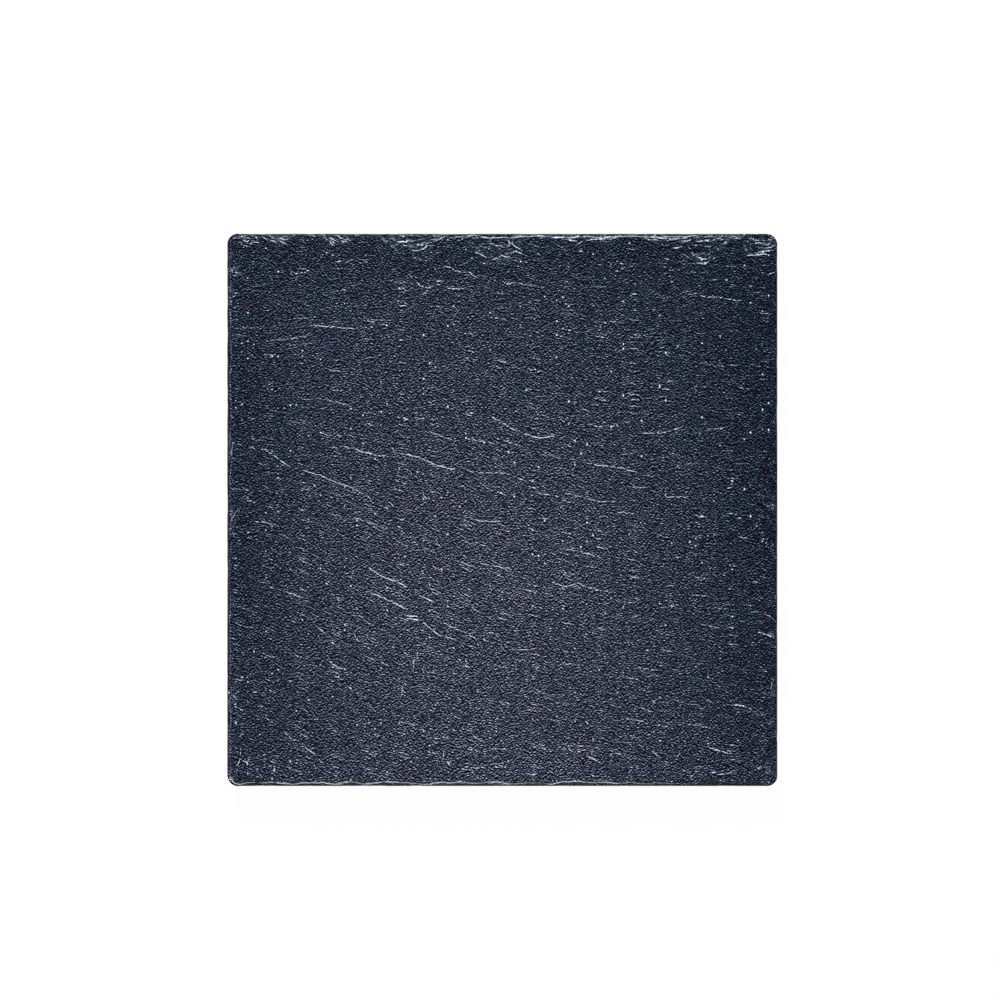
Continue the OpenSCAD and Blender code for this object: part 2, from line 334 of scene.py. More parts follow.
# Lean of the grain: slope, then middle and half width of the stretch that leans so, in millimetres
GRAIN_SLOPE = -0.10
GRAIN_LEANS = [
    (-0.50, (-30, -22), (24, 26)),
    (0.18, (-36, 34), (16, 14)),
    (0.14, (36, 12), (18, 14)),
    (-0.14, (2, 4), (20, 24)),
    (-0.12, (24, -38), (20, 14)),
]

# Broad light and dark stretches of the face, partly the stone's own uneven tone and partly a painted falloff
# of the light, brightest near the front middle and darker to the right, left and back: change of tone, then
# middle and half width, in millimetres
TONES_AND_PAINTED_LIGHT = [
    (0.038, (-4, -20), (34, 44)),
    (-0.046, (54, 6), (17, 60)),
    (-0.040, (-54, 10), (14, 50)),
    (-0.040, (0, 54), (60, 12)),
    (-0.016, (34, 38), (22, 18)),
    (0.016, (0, -54), (50, 14)),
]


def soft(share):
    """A share from 0 to 1 that starts and ends gently."""
    return share * share * (3 - 2 * share)


def value_noise(u, v, seed):
    """Smooth noise from -1 to 1, with one random value to each unit cell."""
    table = np.random.default_rng(seed).uniform(-1, 1, (NOISE_CELLS, NOISE_CELLS))
    column = np.floor(u).astype(int)
    row = np.floor(v).astype(int)
    across = soft(u - column)
    along = soft(v - row)
    left = column % NOISE_CELLS
    right = (column + 1) % NOISE_CELLS
    rows = (row % NOISE_CELLS, (row + 1) % NOISE_CELLS)
    near, far = (table[left, at] * (1 - across) + table[right, at] * across for at in rows)
    return near * (1 - along) + far * along


def fractal_noise(u, v, seed, octaves):
    """Value noise with finer, weaker noise added."""
    total = np.zeros(np.broadcast(u, v).shape)
    for octave in range(octaves):
        total += value_noise(u * 2 ** octave, v * 2 ** octave, seed + octave) / 2 ** octave
    return total


def stone_noise(name, u, v, seed=0):
    """One of the stone's noises by name."""
    cells_u, cells_v, own_seed, octaves = STONE_NOISES[name]
    return fractal_noise(u * cells_u, v * cells_v, own_seed + seed, octaves)


def smooth_step(low, high, value):
    """0 below low, 1 above high and a smooth rise between them."""
    return soft(np.clip((value - low) / (high - low), 0, 1))


def terraced(depth, layer, riser_share):
    """A smooth depth as flat treads with sloping risers, one to each cleavage layer."""
    level = depth / layer
    tread = np.floor(level)
    return layer * (tread + smooth_step(1 - riser_share, 1, level - tread))


def grain_coordinates(x, y):
    """Distance along the stone's grain and across it."""
    across = y - GRAIN_SLOPE * x
    for slope, (middle_x, middle_y), (half_x, half_y) in GRAIN_LEANS:
        fade = np.exp(-((y - middle_y) / half_y) ** 2)
        across = across - slope * half_x * np.tanh((x - middle_x) / half_x) * fade
    return x, across


def from_photo(point):
    """A pixel of the photograph as a point on the slab."""
    return np.array([(point[0] - CENTRE_X_PX) * MM_PER_PX, (CENTRE_Y_PX - point[1]) * MM_PER_PX])


def side_distances(x, y):
    """For each side, the distance along it from its left or front end, that in from it, and its length."""
    return {
        "back": (x + HALF_W, HALF_D - y, 2 * HALF_W),
        "front": (x + HALF_W, y + HALF_D, 2 * HALF_W),
        "left": (y + HALF_D, x + HALF_W, 2 * HALF_D),
        "right": (y + HALF_D, HALF_W - x, 2 * HALF_D),
    }


def scar_depth(along, inward, scar, side_length, seed):
    """Depth that one chip scar takes off the top: a ragged arc that falls away towards the edge."""
    place, length, reach, drop = scar
    half_length = length * SCAR_LENGTH / 2
    offset = (along - place * side_length) / half_length
    offset = offset + SCAR_RAGGED_SHARE * stone_noise("scar_ends", along, inward, seed)
    arc = reach * SCAR_REACH * np.clip(1 - offset ** 2, 0, None) ** SCAR_ARC_POWER
    arc = arc * (1 + SCAR_UNEVEN_SHARE * stone_noise("scar_reach", along, inward, seed))
    share = 1 - inward / np.maximum(arc, TINY)
    slope = SCAR_RIM_SHARE + (1 - SCAR_RIM_SHARE) * np.clip(share, 0, 1) ** SCAR_SLOPE_POWER
    return drop * SCAR_DROP * slope * smooth_step(0, SCAR_SOFT_SHARE, share)


def edge_loss(x, y):
    """Depth lost along the edges to chip scars and wear."""
    sides = side_distances(x, y)
    loss = np.zeros_like(x)
    seed = SCAR_FIRST_SEED
    for side, (along, inward, side_length) in sides.items():
        for scar in SCAR_SHARES[side]:
            seed += SCAR_SEED_STEP
            loss = np.maximum(loss, scar_depth(along, inward, scar, side_length, seed))
    uneven = SCAR_LAYER_UNEVEN * stone_noise("scar_layers", x, y) * smooth_step(*SCAR_START, loss)
    stepped = terraced(loss + uneven, SCAR_LAYER, SCAR_RISER_SHARE)
    loss = np.where(loss > SCAR_START[0], np.maximum(stepped, SCAR_LEAST_SHARE * loss), loss)
    for along, inward, side_length in sides.values():
        reach = WEAR_REACH * (1 + WEAR_UNEVEN_SHARE * stone_noise("wear", along, inward))
        worn = np.clip(1 - inward / np.maximum(reach, WEAR_LEAST_REACH), 0, 1) ** WEAR_POWER
        loss = np.maximum(loss, WEAR_DROP * worn)
    return loss


def streak_field(x, y, points):
    """Distance from a streak, positive on the left hand of its way, and how fully the streak is there."""
    points = [from_photo(point) for point in points]
    lengths = [np.linalg.norm(end - start) for start, end in zip(points, points[1:])]
    nearest = np.full(x.shape, np.inf)
    signed = np.full(x.shape, STREAK_FAR)
    travelled = np.zeros(x.shape)
    run = 0.0
    last = len(lengths) - 1
    for index, (start, end, length) in enumerate(zip(points, points[1:], lengths)):
        way = (end - start) / length
        t = (x - start[0]) * way[0] + (y - start[1]) * way[1]
        off = (y - start[1]) * way[0] - (x - start[0]) * way[1]
        held = np.clip(t, 0, length)
        gap = np.hypot(t - held, off)
        closer = gap < nearest
        nearest = np.where(closer, gap, nearest)
        signed = np.where(closer, off, signed)
        free = np.clip(t, -np.inf if index == 0 else 0, np.inf if index == last else length)
        travelled = np.where(closer, run + free, travelled)
        run += length
    fade = min(STREAK_FADE, run * STREAK_FADE_SHARE)
    there = smooth_step(-STREAK_LEAD, fade, travelled) * smooth_step(-STREAK_LEAD, fade, run - travelled)
    return signed, there * (nearest < STREAK_HALF_BAND)


def streak_layers():
    """Sorts the streaks into layers in which no two lie close together."""
    layers = [[] for layer in range(STREAK_LAYERS)]
    for strength, *pixels in STREAKS_PX:
        points = list(zip(pixels[::2], pixels[1::2]))
        path = np.array([from_photo(point) for point in points])
        spread = np.linspace(0, 1, STREAK_SAMPLES)[:, None]
        path = np.concatenate([a + (b - a) * spread for a, b in zip(path, path[1:])])
        room = []
        for layer in layers:
            gaps = [np.linalg.norm(path[:, None] - other[None], axis=2).min() for other, row in layer]
            room.append(min(gaps, default=np.inf))
        chosen = next((k for k, gap in enumerate(room) if gap > STREAK_SPACING), int(np.argmax(room)))
        layers[chosen].append((path, (strength, points)))
    return [[row for path, row in layer] for layer in layers]


def grid_lines(half):
    """Grid lines across the slab, closer together along the edges."""
    band = np.linspace(0, EDGE_BAND, EDGE_STEPS + 1)
    middle = np.linspace(EDGE_BAND - half, half - EDGE_BAND, MIDDLE_STEPS + 1)
    return np.concatenate([band[:-1] - half, middle, half - band[-2::-1]])


def round_corners(x, y):
    """Draws the grid's corners in, so that its outline has round corners."""
    u = np.clip((abs(x) - HALF_W) / CORNER_R + 1, 0, 1)
    v = np.clip((abs(y) - HALF_D) / CORNER_R + 1, 0, 1)
    x = x - np.sign(x) * CORNER_R * u * (1 - np.sqrt(1 - v * v / 2))
    y = y - np.sign(y) * CORNER_R * v * (1 - np.sqrt(1 - u * u / 2))
    return x, y


def outward(x, y):
    """Directions out of the slab at points of its outline."""
    core_x = np.clip(x, CORNER_R - HALF_W, HALF_W - CORNER_R)
    core_y = np.clip(y, CORNER_R - HALF_D, HALF_D - CORNER_R)
    length = np.hypot(x - core_x, y - core_y)
    return (x - core_x) / length, (y - core_y) / length


def rim_distance(x, y):
    """Distance in from the slab's outline, round corners included."""
    off_x = abs(x) - (HALF_W - CORNER_R)
    off_y = abs(y) - (HALF_D - CORNER_R)
    beyond = np.hypot(np.clip(off_x, 0, None), np.clip(off_y, 0, None))
    return CORNER_R - beyond - np.minimum(np.maximum(off_x, off_y), 0)


def lip_strength(x, y):
    """How far the worn lip along the front, left and back edges shows."""
    front = smooth_step(*LIP_BAND, y + HALF_D) * smooth_step(*LIP_FRONT_END, HALF_W - x)
    left = smooth_step(*LIP_BAND, x + HALF_W)
    back = smooth_step(*LIP_BAND, HALF_D - y)
    back *= smooth_step(*LIP_BACK_START, x) * smooth_step(*LIP_BACK_END, x)
    return np.maximum(np.maximum(front, LIP_LEFT_SHARE * left), LIP_BACK_SHARE * back)


def tone_and_painted_light(x, y):
    """Slow change of tone over the face, partly the stone's own and partly a painted falloff of the light."""
    tone = np.zeros_like(x)
    for change, (middle_x, middle_y), (half_x, half_y) in TONES_AND_PAINTED_LIGHT:
        tone += change * np.exp(-((x - middle_x) / half_x) ** 2 - ((y - middle_y) / half_y) ** 2)
    return tone


def riven_relief(along, across):
    """Height of the split face, and its level in treads, which is whole in the middle of each riser."""
    swell = SWELL_HEIGHT * stone_noise("swell", along, across)
    level = TREAD_LEVELS * (TREAD_RAISE + stone_noise("treads", along, across))
    treads = terraced(level * TREAD_HEIGHT, TREAD_HEIGHT, TREAD_RISER_SHARE)
    grain = GRAIN_HEIGHT * stone_noise("grain", along, across)
    return swell + grain - treads, level + TREAD_RISER_SHARE / 2


def surface_block(
    place, flat, grain, broken=0.0, lit=0.0, tone=0.0, level=0.5, slope=1.0, rim=RIM_FAR, lip=0.0, loss=0.0
):
    """Points of one stretch of the stone's surface with what its material reads there."""
    x, y, z = (np.asarray(part, float).ravel() for part in place)
    values = {
        "flat": (*flat, 0.0),
        "grain": (*grain, 0.0),
        # lit marks slopes that face the back lamp, for the painted highlight on the scar ripples
        "edge": (broken, lit, tone),
        "tread": (level, slope, 0.0),
        "rim": (rim, lip, loss),
    }
    block = {"points": np.stack([x, y, z], axis=1)}
    for name, parts in values.items():
        parts = [np.broadcast_to(np.asarray(part, float).ravel(), x.shape) for part in parts]
        block[name] = np.stack(parts, axis=1)
    for layer in range(STREAK_LAYERS):
        block["streak_%d" % layer] = np.tile((STREAK_FAR, 0.0, 0.0), (x.size, 1))
    return block


def top_face(x, y, lines_y):
    """The riven face, with its cleavage steps, chip scars and worn edges."""
    along, across = grain_coordinates(x, y)
    loss = edge_loss(x, y)
    whole = 1 - smooth_step(*WHOLE_LOSS, loss)
    height, level = riven_relief(along, across)
    height = height * (SCAR_RELIEF_SHARE + (1 - SCAR_RELIEF_SHARE) * whole)
    level_slope = np.gradient(level, lines_y, axis=1)
    streaks = []
    for rows in streak_layers():
        signed = np.full(x.shape, STREAK_FAR)
        weight = np.zeros(x.shape)
        reach = np.full(x.shape, np.inf)
        for strength, points in rows:
            distance, there = streak_field(x, y, points)
            step = smooth_step(*STREAK_RISER, distance) * np.exp(-np.clip(distance, 0, None) / STREAK_RUN)
            height = height - STREAK_STEP * strength * step * there * whole
            closer = np.where(there > 0, abs(distance), np.inf) < reach
            reach = np.where(closer, abs(distance), reach)
            signed = np.where(closer, distance, signed)
            weight = np.where(closer, strength * there, weight)
        streaks.append(np.stack([signed.ravel(), weight.ravel(), np.zeros(x.size)], axis=1))
    z = SLAB_TOP + height - loss - max(0, height.max())
    rim = rim_distance(x, y)
    # Slopes that face the back lamp, where the ripple lines get a painted highlight
    lit = smooth_step(*LIT_SLOPE, -np.gradient(z, lines_y, axis=1))
    tone = tone_and_painted_light(x, y)
    broken = smooth_step(*BROKEN_LOSS, loss)

    # The outline wanders a little, and the points near it move with it
    out_x = np.sign(x) * smooth_step(EDGE_WANDER_REACH, 0, HALF_W - abs(x))
    out_y = np.sign(y) * smooth_step(EDGE_WANDER_REACH, 0, HALF_D - abs(y))
    wander = EDGE_WANDER * np.clip(stone_noise("outline", x + NOISE_PLACE, y + NOISE_PLACE), 0, None)
    place = (x - out_x * wander, y - out_y * wander, z)

    # The grain runs on down the scars, away from the middle of the slab
    depth = GRAIN_DEPTH_STRETCH * loss
    sideways = HALF_W - abs(x) < HALF_D - abs(y)
    down_x = np.where(sideways, np.sign(x) * depth, 0)
    down_y = np.where(sideways, 0, np.sign(y) * depth)
    flat = (x + down_x, y + down_y)
    grain = (along + GRAIN_SIDE_STRETCH * down_x, across + down_y)
    lip = lip_strength(x, y)
    block = surface_block(place, flat, grain, broken, lit, tone, level, level_slope, rim, lip, loss)
    for layer, values in enumerate(streaks):
        block["streak_%d" % layer] = values
    return block


def walls(rim, outline):
    """The broken sides: each cleavage layer stands back by its own, slowly changing amount."""
    rim_x, rim_y, rim_z = rim.T
    normal_x, normal_y = outward(*outline)
    gap = np.hypot(np.roll(rim_x, -1) - rim_x, np.roll(rim_y, -1) - rim_y)
    around = np.concatenate([[0], np.cumsum(gap)[:-1]])
    blocks = []
    for row in range(1, WALL_ROWS + 1):
        share = row / WALL_ROWS
        z = rim_z + (SLAB_BOTTOM - rim_z) * share
        layer = np.floor((z + WALL_BEND * stone_noise("wall_bend", around, z)) / WALL_LAYER)
        setback = WALL_SETBACK * (1 + stone_noise("wall_layers", around, layer)) / 2
        setback += WALL_ROUGH * stone_noise("wall_grain", around, z)
        foot = smooth_step(WALL_FOOT_SHARE, 1, share) * (1 + stone_noise("wall_foot", around, z))
        setback += WALL_FOOT_SETBACK * foot
        setback = np.clip(setback, 0, None) * smooth_step(0, WALL_RIM_SHARE, share)
        place = (rim_x - normal_x * setback, rim_y - normal_y * setback, z)
        depth = WALL_PLACE + SLAB_TOP - z
        grain = (around, WALL_PLACE + WALL_GRAIN_STRETCH * (SLAB_TOP - z))
        tone = tone_and_painted_light(rim_x, rim_y)
        level = {"level": z / WALL_LAYER, "slope": 1 / WALL_LAYER}
        blocks.append(surface_block(place, (around, depth), grain, WALL_BROKEN, tone=tone, **level))
    return blocks


def underside(x, y):
    """The split underside, flat where the feet are stuck on."""
    clear = np.ones(x.shape)
    for corner in CORNERS:
        middle, radius = box_of("foot_" + corner)[2:]
        clear *= smooth_step(*FOOT_FLAT_BAND, np.hypot(x - middle[0], y - middle[1]) - radius)
    along, across = grain_coordinates(x, -y)
    relief = BOTTOM_RELIEF * (1 + stone_noise("underside", along, across)) / 2
    z = SLAB_BOTTOM + np.clip(relief, 0, None) * clear
    return surface_block((x, y, z), (x, y), (along, across))


def slab_faces(count, ring, rings, first_low):
    """Faces of the top grid, the walls between the rings, and the underside's coarser grid."""
    index = np.arange(count * count).reshape(count, count)
    corners = [index[:-1, :-1], index[1:, :-1], index[1:, 1:], index[:-1, 1:]]
    faces = np.stack(corners, axis=2).reshape(-1, 4).tolist()
    for upper, lower in zip(rings, rings[1:]):
        faces += np.stack([upper, lower, np.roll(lower, -1), np.roll(upper, -1)], axis=1).tolist()
    last = count - 1
    inner_lines = range(BOTTOM_STRIDE, last, BOTTOM_STRIDE)
    low = {place: first_low + n for n, place in enumerate((i, j) for i in inner_lines for j in inner_lines)}
    low.update({place: int(vertex) for place, vertex in zip(ring, rings[-1])})
    for i in range(0, last, BOTTOM_STRIDE):
        for j in range(0, last, BOTTOM_STRIDE):
            far_i, far_j = i + BOTTOM_STRIDE, j + BOTTOM_STRIDE
            loop = [(i, k) for k in range(j, far_j)] + [(k, far_j) for k in range(i, far_i)]
            loop += [(far_i, k) for k in range(far_j, j, -1)] + [(k, j) for k in range(far_i, i, -1)]
            faces.append([low[place] for place in loop if place in low])
    return faces


def slate_arrays():
    """The stone's points, faces and surface values: a grid on top, walls, and a coarser grid below."""
    lines_x = grid_lines(HALF_W)
    lines_y = grid_lines(HALF_D)
    count = len(lines_x)
    last = count - 1
    x, y = round_corners(*np.meshgrid(lines_x, lines_y, indexing="ij"))
    top = top_face(x, y, lines_y)

    # Loop round the outline, anticlockwise from the front left corner
    ring = [(i, 0) for i in range(last)] + [(last, j) for j in range(last)]
    ring += [(i, last) for i in range(last, 0, -1)] + [(0, j) for j in range(last, 0, -1)]
    ring_i, ring_j = np.array(ring).T
    first_ring = ring_i * count + ring_j
    row_starts = [count * count + len(ring) * row for row in range(WALL_ROWS)]
    rings = [first_ring] + [start + np.arange(len(ring)) for start in row_starts]

    inner = slice(BOTTOM_STRIDE, last, BOTTOM_STRIDE)
    blocks = [top] + walls(top["points"][first_ring], (x[ring_i, ring_j], y[ring_i, ring_j]))
    first_low = sum(len(block["points"]) for block in blocks)
    blocks.append(underside(x[inner, inner], y[inner, inner]))
    values = {name: np.concatenate([block[name] for block in blocks]) for name in top}
    return values, slab_faces(count, ring, rings, first_low)


def new_piece(name, points, faces):
    """A mesh piece from points in metres."""
    mesh = bpy.data.meshes.new(name)
    mesh.from_pydata(points.tolist(), [], faces)
    mesh.update()
    piece = bpy.data.objects.new(name, mesh)
    bpy.context.scene.collection.objects.link(piece)
    return piece


def smooth_faces(mesh, sharp_degrees):
    """Shades a mesh smooth, apart from its sharp edges."""
    mesh.polygons.foreach_set("use_smooth", [True] * len(mesh.polygons))
    mesh.set_sharp_from_angle(angle=math.radians(sharp_degrees))


def surface_value(mesh, name, values):
    """Stores three values at each point, for the material to read."""
    attribute = mesh.attributes.new(name, "FLOAT_VECTOR", "POINT")
    attribute.data.foreach_set("vector", values.astype(np.float32).ravel())


def dress(piece, material, node, sharp_degrees):
    """Shades a piece, gives it its material and puts it in the place of a plain solid."""
    smooth_faces(piece.data, sharp_degrees)
    piece.data.materials.append(material)
    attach(piece, "root")
    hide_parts(node)


def make_slab(material):
    """The stone, in place of its plain solid."""
    values, faces = slate_arrays()
    piece = new_piece("riven_slate", values.pop("points") * MM, faces)
    for name, numbers in values.items():
        surface_value(piece.data, name, numbers)
    dress(piece, material, "slate_slab", SLATE_SHARP_DEGREES)


def lathe(name, profile, middle, ragged_share=0.0):
    """A solid of revolution from (radius, height) points that start and end on the axis, in millimetres."""
    segments = LATHE_SEGMENTS
    turn = np.linspace(0, 2 * math.pi, segments, endpoint=False)
    ragged = sum(np.sin(count * turn + n) for n, count in enumerate(RAGGED_COUNTS)) / len(RAGGED_COUNTS)
    waves = 1 + ragged_share * ragged
    points = [(middle[0], middle[1], profile[0][1])]
    for radius, height in profile[1:-1]:
        ring_x = radius * waves * np.cos(turn) + middle[0]
        ring_y = radius * waves * np.sin(turn) + middle[1]
        points += [(px, py, height) for px, py in zip(ring_x, ring_y)]
    points.append((middle[0], middle[1], profile[-1][1]))
    faces = []
    rings = len(profile) - 2
    top = len(points) - 1
    for k in range(segments):
        after = (k + 1) % segments
        faces.append((0, 1 + after, 1 + k))
        for ring in range(rings - 1):
            low = 1 + ring * segments
            high = low + segments
            faces.append((low + k, low + after, high + after, high + k))
        last = 1 + (rings - 1) * segments
        faces.append((last + k, last + after, top))
    return new_piece(name, np.array(points) * MM, faces)


def arc_points(centre, radius, start_degrees, end_degrees, steps):
    """Points along an arc of a profile."""
    turn = end_degrees - start_degrees
    angles = [math.radians(start_degrees + turn * k / steps) for k in range(steps + 1)]
    return [(centre[0] + radius * math.cos(a), centre[1] + radius * math.sin(a)) for a in angles]


def box_of(node):
    """Lower and upper corner of a solid's box and its middle, in millimetres, and half its width."""
    low, high = (np.array(end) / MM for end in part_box(node))
    return low, high, (low + high) / 2, (high[0] - low[0]) / 2


def make_foot(corner, material):
    """A rubber foot with a rounded lower rim."""
    low, high, middle, radius = box_of("foot_" + corner)
    flat = FOOT_FLAT_SHARE * radius
    profile = [(0, low[2]), (flat, low[2])]
    profile += arc_points((radius - FOOT_RIM_R, low[2] + FOOT_RIM_R), FOOT_RIM_R, -90, 0, FOOT_RIM_STEPS)
    profile += arc_points((radius - FOOT_TOP_R, high[2] - FOOT_TOP_R), FOOT_TOP_R, 0, 90, FOOT_TOP_STEPS)
    profile += [(flat, high[2]), (0, high[2])]
    piece = lathe("rubber_foot_" + corner, profile, middle)
    dress(piece, material, "foot_" + corner, LATHE_SHARP_DEGREES)


def make_adhesive(corner, material):
    """The die-cut adhesive disc on top of a foot."""
    low, high, middle, radius = box_of("adhesive_" + corner)
    flat = ADHESIVE_FLAT_SHARE * radius
    profile = [(0, low[2]), (flat, low[2]), (radius, low[2])]
    profile += [(radius, high[2]), (flat, high[2]), (0, high[2])]
    piece = lathe("adhesive_disc_" + corner, profile, middle, ADHESIVE_RAGGED / radius)
    dress(piece, material, "adhesive_" + corner, LATHE_SHARP_DEGREES)


def linear(*rgb):
    """A colour written as it shows on screen, 0 to 255, as the shader's own linear colour."""
    shares = [value / 255 for value in rgb]
    return tuple(s / 12.92 if s <= 0.04045 else ((s + 0.055) / 1.055) ** 2.4 for s in shares) + (1.0,)


class Shader:
    """Short calls that add nodes to one material and wire them up."""

    def __init__(self, name):
        self.material = bpy.data.materials.new(name)
        self.material.use_nodes = True
        self.tree = self.material.node_tree
        self.tree.nodes.clear()
        self.output = self.tree.nodes.new("ShaderNodeOutputMaterial")

    def node(self, kind, inputs=None, **settings):
        """Adds a node, sets its properties, and fills its inputs with values or other nodes' outputs."""
        node = self.tree.nodes.new(kind)
        for name, value in settings.items():
            setattr(node, name, value)
        for name, value in (inputs or {}).items():
            socket = node.inputs[name]
            if isinstance(value, bpy.types.NodeSocket):
                self.tree.links.new(value, socket)
            else:
                socket.default_value = value
        return node

    def math(self, operation, *values):
        """A sum of one, two or three values."""
        return self.node("ShaderNodeMath", dict(enumerate(values)), operation=operation).outputs[0]

    def times(self, first, *others):
        """All values multiplied."""
        for value in others:
            first = self.math("MULTIPLY", first, value)
        return first

    def times_plus(self, value, factor, added):
        """A value times a factor, and something added."""
        return self.math("MULTIPLY_ADD", value, factor, added)

    def step(self, value, low, high):
        """A smooth rise from 0 at low to 1 at high."""
        inputs = {"Value": value, "From Min": low, "From Max": high}
        return self.node("ShaderNodeMapRange", inputs, interpolation_type="SMOOTHSTEP").outputs["Result"]

    def values(self, name):
        """The three values that the mesh holds under a name."""
        vector = self.node("ShaderNodeAttribute", attribute_name=name).outputs["Vector"]
        return vector, self.node("ShaderNodeSeparateXYZ", {"Vector": vector}).outputs

    def stretched(self, vector, along, across, shift=0.0, lift=0.0):
        """Coordinates in cells of a given length and width, shifted, and lifted across the grain."""
        scale = (1 / along, 1 / across, 1 / across)
        inputs = {0: vector, 1: scale, 2: (shift, shift + lift, shift)}
        return self.node("ShaderNodeVectorMath", inputs, operation="MULTIPLY_ADD").outputs[0]

    def bent(self, vector, amount):
        """Flat coordinates moved across the grain by an amount."""
        offset = self.node("ShaderNodeCombineXYZ", {"Y": amount}).outputs[0]
        return self.node("ShaderNodeVectorMath", {0: vector, 1: offset}, operation="ADD").outputs[0]

    def turned(self, vector, degrees):
        """Flat coordinates turned by an angle, which hides the lattice of the noise that they place."""
        inputs = {"Vector": vector, "Angle": math.radians(degrees)}
        return self.node("ShaderNodeVectorRotate", inputs, rotation_type="Z_AXIS").outputs[0]

    def noise(self, vector, detail=1.0, dimensions="2D"):
        """Noise of about unit cells, centred on 0."""
        inputs = {"Vector": vector, "Scale": 1.0, "Detail": detail}
        fac = self.node("ShaderNodeTexNoise", inputs, noise_dimensions=dimensions).outputs["Fac"]
        return self.math("SUBTRACT", fac, 0.5)

    def ramp(self, value, stops):
        """A colour for each value, from (place, colour) stops."""
        node = self.node("ShaderNodeValToRGB", {"Fac": value})
        elements = node.color_ramp.elements
        while len(elements) < len(stops):
            elements.new(0.5)
        for element, (place, colour) in zip(elements, stops):
            element.position = place
            element.color = colour
        return node.outputs["Color"]

    def mix(self, factor, first, second):
        """Two colours mixed."""
        return self.node("ShaderNodeMix", {0: factor, 6: first, 7: second}, data_type="RGBA").outputs[2]

    def two_tones(self, noise, dark, light):
        """A colour between two by a noise."""
        stops = zip(TWO_TONE_STOPS, (linear(*dark), linear(*light)))
        return self.ramp(self.math("ADD", noise, 0.5), list(stops))

    def bump(self, height, strength, depth):
        """Fine relief from a height, with its depth in millimetres."""
        inputs = {"Height": height, "Strength": strength, "Distance": depth * MM}
        return self.node("ShaderNodeBump", inputs).outputs[0]

    def surface(self, **inputs):
        """The principled surface that ends the material."""
        inputs = {name.replace("_", " "): value for name, value in inputs.items()}
        shader = self.node("ShaderNodeBsdfPrincipled", inputs)
        self.tree.links.new(shader.outputs[0], self.output.inputs[0])
        return self.material


# Tone of the stone: 0 is black and 1 is white on screen, with a cast towards blue at every tone
SLATE_GREYS = (0, 16, 32, 50, 75, 105, 145, 195, 245)
SLATE_CASTS = [(-15, -1, 17), (-9, -4, 17)]
SLATE_TONE = 0.081

# Ridges, dashes and bright points: length along the grain and width across it in millimetres, the shift
# of their cells, the radius of a dot in its cell, and the power that leaves few dots bright
RIDGE_SIZES = [(0.31, 0.29), (0.34, 0.20)]
RIDGE_SHIFT = 5.0
LATTICE_TURNS = (31.0, -19.0)
DASH_SIZE = (1.3, 0.33)
DASH_SHIFT = 9.0
DASH_POWER = 10.0
LONG_DASH_SIZE = (6.0, 0.34)
LONG_DASH_SHIFT = 29.0
LONG_DASH_POWER = 7.0
DASH_RADIUS = 0.28
DASH_WOBBLE = 0.45
DASH_BEAD_EDGES = (-0.15, 0.10)
BEAD_LEAST = 0.2
# Glints: painted highlights of mica flakes catching the light, put in the colour as bright points
GLINT_SIZE = (1.1, 1.1)
GLINT_SHIFT = 61.0
GLINT_RADIUS = 0.17
GLINT_POWER = 28.0
SPECK_CORE_SHARE = 0.3
# Painted shade: a darker copy of the ridges and dashes, shifted across the grain by this much, stands for the
# shaded front side of each small ledge lit from behind
SHADE_SHIFT = 0.18
SHADE_SHARE = 0.96

# Noise that bends and breaks the marks: length and width in millimetres, shift of its cells, and detail
WOBBLE_SIZE = (0.7, 0.7)
BEAD_SIZE = (0.6, 0.4)
MARK_NOISES = {
    "dash_wobble": (WOBBLE_SIZE, 15.0, 2.0),
    "dash_bead": (BEAD_SIZE, 83.0, 0.0),
    "line_wobble": (WOBBLE_SIZE, 5.0, 2.0),
    "line_patch": ((5.0, 1.6), 41.0, 2.0),
    "streak_wobble": (WOBBLE_SIZE, 3.0, 3.0),
    "streak_bead": (BEAD_SIZE, 53.0, 1.0),
    "lip_wander": ((4.0, 4.0), 91.0, 2.0),
    "lip_break": ((3.0, 3.0), 95.0, 2.0),
    "ripple_wobble": (WOBBLE_SIZE, 7.0, 2.0),
    "ripple_patch": ((1.6, 0.8), 37.0, 2.0),
    "flow": ((22.0, 3.5), 23.0, 2.0),
    "tint": ((9.0, 6.0), 71.0, 2.0),
}

# Lines along the treads: edges of a line in millimetres, slopes that face the back lamp, where the lines are
# brighter as a painted highlight, edges of the patches
LINE_EDGES = (0.08, 0.02)
LINE_WOBBLE = 0.5
LINE_LEAST_SLOPE = 0.15
LINE_FACING = (-0.3, 0.3)
LINE_LEAST = 0.3
LINE_PATCH_EDGES = (-0.02, 0.18)

# Streaks: half width in millimetres and its rise with the strength, and where the painted shadow below them
# lies
STREAK_HALF = 0.035
STREAK_HALF_RISE = 0.06
STREAK_CORE_EDGE = 0.02
STREAK_WOBBLE = 0.55
STREAK_BEAD_EDGES = (-0.16, 0.10)
STREAK_STRONG = (0.7, 1.3)
STREAK_SHADE_FAR = (-0.5, -0.2)
STREAK_SHADE_NEAR = (0.0, -0.2)

# Lip, painted shade along the outline, and ripples of the scars, in millimetres from the rim or of depth
LIP_INSET = 0.58
LIP_WANDER = 1.1
LIP_EDGES = (0.14, 0.03)
LIP_BREAK_EDGES = (-0.22, -0.04)
# Painted shade behind the pale lip line
LIP_SHADE_NEAR = (0.10, 0.22)
LIP_SHADE_FAR = (0.50, 0.24)
OUTLINE_EDGES = (0.30, 0.14)
OUTLINE_LOSS = (1.0, 0.35)
RIPPLE_STEP = 0.30
RIPPLE_EDGES = (0.18, 0.05)
RIPPLE_LOSS = (0.06, 0.16)
RIPPLE_PATCH_EDGES = (-0.05, 0.12)
RIPPLE_LEAST = 0.15

# Change between the two casts, by a noise and with the tone
TINT_SHARE = 0.6
TINT_FOLLOW = 4.0
TINT_EDGES = (-0.3, 0.3)

